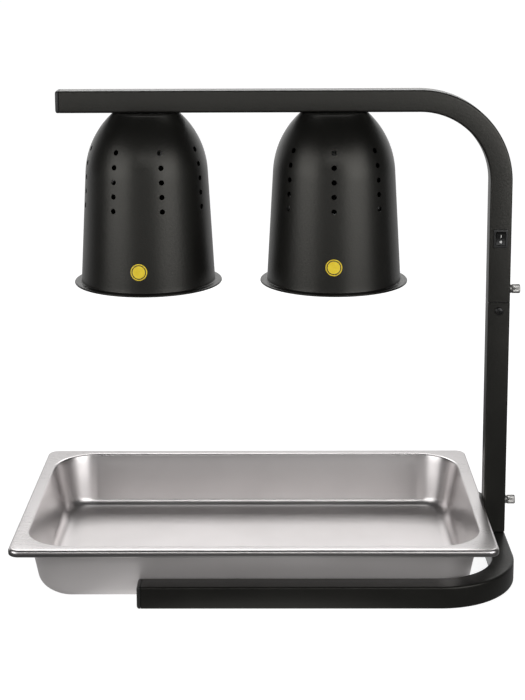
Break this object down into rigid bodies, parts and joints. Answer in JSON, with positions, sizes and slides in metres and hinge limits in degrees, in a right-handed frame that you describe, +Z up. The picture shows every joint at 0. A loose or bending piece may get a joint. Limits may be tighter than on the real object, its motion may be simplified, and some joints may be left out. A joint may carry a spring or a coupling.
{
  "type": "food heat lamp",
  "caption": "Counter food warmer: bent square-tube stand on a U base carrying domed, vented heat lamp shades over a steam-table pan.",
  "frame": {"origin": "on the table, under the middle of the object's length and depth", "axes": "+X along the arm from its free end towards the post, +Y from the front with the switch to the back, +Z up"},
  "size_m": [0.5696, 0.332, 0.5443],
  "materials": {
    "black_powder_coat": "satin black powder coat",
    "black_plastic": "satin moulded plastic",
    "bright_steel": "bright nickel plate",
    "zinc_steel": "zinc plate",
    "black_steel": "black oxide",
    "brass": "bright",
    "porcelain": "white glaze",
    "frosted_glass": "frosted face",
    "nickel_cap": "nickel plate",
    "satin_stainless": "satin stainless sheet",
    "grey_plastic": "matt moulded plastic",
    "blue_insulation": "matt insulation",
    "brown_insulation": "matt insulation"
  },
  "bodies": {
    "base": {"base_frame": "black_powder_coat", "base_end_cap_front": "black_plastic", "base_end_cap_rear": "black_plastic"},
    "post": {"lower_post": "black_powder_coat", "joint_spigot": "zinc_steel", "post_screw": "black_steel", "lower_thumb_bush": "bright_steel"},
    "lower_washer": {"lower_thumb_washer": "bright_steel"},
    "lower_screw": {"lower_thumb_screw": "bright_steel"},
    "arm": {"upper_arm": "black_powder_coat", "arm_end_cap": "black_plastic", "cord_gland": "black_plastic", "upper_thumb_bush": "bright_steel", "switch_housing": "black_plastic", "switch_terminal_1": "brass", "switch_terminal_2": "brass", "switch_terminal_3": "brass", "terminal_block": "grey_plastic", "switch_lead": "brown_insulation", "left_lamp_lead": "blue_insulation", "right_lamp_lead": "brown_insulation", "left_shade": "black_powder_coat", "left_rod": "zinc_steel", "left_arm_washer": "zinc_steel", "left_arm_nut": "zinc_steel", "left_shade_washer": "zinc_steel", "left_shade_nut": "zinc_steel", "left_lamp_holder": "porcelain", "left_holder_shell": "brass", "left_holder_contact": "brass", "right_shade": "black_powder_coat", "right_rod": "zinc_steel", "right_arm_washer": "zinc_steel", "right_arm_nut": "zinc_steel", "right_shade_washer": "zinc_steel", "right_shade_nut": "zinc_steel", "right_lamp_holder": "porcelain", "right_holder_shell": "brass", "right_holder_contact": "brass"},
    "upper_washer": {"upper_thumb_washer": "bright_steel"},
    "upper_screw": {"upper_thumb_screw": "bright_steel"},
    "rocker": {"switch_rocker": "black_plastic"},
    "left_tip": {"left_bulb_tip": "brass"},
    "left_bulb": {"left_bulb_cap": "nickel_cap", "left_bulb_glass": "frosted_glass"},
    "right_tip": {"right_bulb_tip": "brass"},
    "right_bulb": {"right_bulb_cap": "nickel_cap", "right_bulb_glass": "frosted_glass"},
    "pan": {"food_pan": "satin_stainless"}
  },
  "joints": [
    {"name": "post_lift", "type": "slide", "parent": "base", "child": "post", "axis": [0, 0, 1], "range_m": [0, 0.04]},
    {"name": "lower_screw_travel", "type": "slide", "parent": "post", "child": "lower_washer", "axis": [1, 0, 0], "range_m": [0, 0.0025]},
    {"name": "lower_screw_turn", "type": "hinge", "parent": "lower_washer", "child": "lower_screw", "pos_m": [0.2723, 0, 0.0609], "axis": [1, 0, 0], "range_deg": [0, 1080]},
    {"name": "arm_lift", "type": "slide", "parent": "post", "child": "arm", "axis": [0, 0, 1], "range_m": [0, 0.04]},
    {"name": "upper_screw_travel", "type": "slide", "parent": "arm", "child": "upper_washer", "axis": [1, 0, 0], "range_m": [0, 0.0025]},
    {"name": "upper_screw_turn", "type": "hinge", "parent": "upper_washer", "child": "upper_screw", "pos_m": [0.2723, 0, 0.3143], "axis": [1, 0, 0], "range_deg": [0, 1080]},
    {"name": "rocker_tilt", "type": "hinge", "parent": "arm", "child": "rocker", "pos_m": [0.2598, -0.0131, 0.3754], "axis": [1, 0, 0], "range_deg": [-22, 0]},
    {"name": "left_bulb_travel", "type": "slide", "parent": "arm", "child": "left_tip", "axis": [0, 0, -1], "range_m": [0, 0.0219]},
    {"name": "left_bulb_turn", "type": "hinge", "parent": "left_tip", "child": "left_bulb", "pos_m": [-0.1405, 0, 0.48], "axis": [0, 0, -1], "range_deg": [0, 2160]},
    {"name": "right_bulb_travel", "type": "slide", "parent": "arm", "child": "right_tip", "axis": [0, 0, -1], "range_m": [0, 0.0219]},
    {"name": "right_bulb_turn", "type": "hinge", "parent": "right_tip", "child": "right_bulb", "pos_m": [0.0715, 0, 0.48], "axis": [0, 0, -1], "range_deg": [0, 2160]},
    {"name": "pan_lift", "type": "slide", "parent": "base", "child": "pan", "axis": [0, 0, 1], "range_m": [0, 0.12]}
  ],
  "couplings": [
    {"joint": "lower_screw_travel", "follows": "lower_screw_turn", "m_per_rad": 0.00012732},
    {"joint": "upper_screw_travel", "follows": "upper_screw_turn", "m_per_rad": 0.00012732},
    {"joint": "left_bulb_travel", "follows": "left_bulb_turn", "m_per_rad": 0.00057773},
    {"joint": "right_bulb_travel", "follows": "right_bulb_turn", "m_per_rad": 0.00057773}
  ]
}
